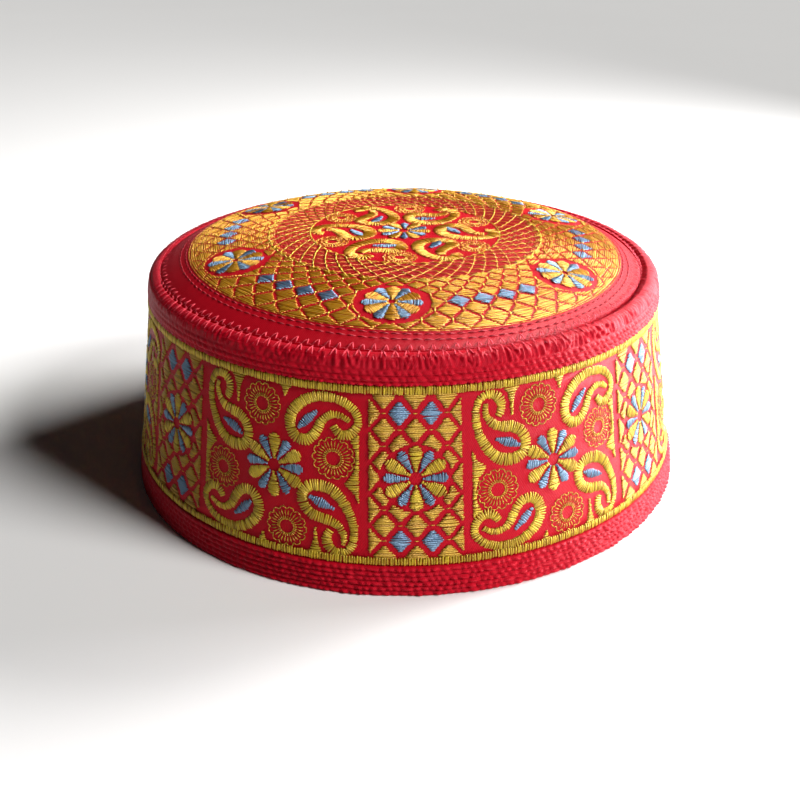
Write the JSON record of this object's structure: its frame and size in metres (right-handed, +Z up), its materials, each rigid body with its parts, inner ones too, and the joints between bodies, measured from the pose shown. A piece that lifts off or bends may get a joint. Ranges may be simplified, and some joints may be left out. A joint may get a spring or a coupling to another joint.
{
  "type": "prayer cap",
  "caption": "Stiff round prayer cap with a tapering embroidered wall, quilted hem and rim, and a domed crown.",
  "frame": {"origin": "centre of the hem's foot, on the floor that the cap stands on", "axes": "+Z up through the crown; -Y towards the side that faces the viewer; +X to the viewer's right"},
  "size_m": [0.1902, 0.1886, 0.0789],
  "materials": {
    "red_cloth": "plain-woven satin cloth, quilted",
    "embroidered_cloth": "red twill ground for embroidery",
    "gold_thread": "glossy rayon satin stitch, gold",
    "blue_thread": "glossy rayon satin stitch, steel blue"
  },
  "bodies": {
    "root": {"hem": "red_cloth", "side_band": "embroidered_cloth", "lower_border": "gold_thread", "upper_border": "gold_thread", "upper_margin": "red_cloth", "crown": "embroidered_cloth"}
  },
  "joints": []
}
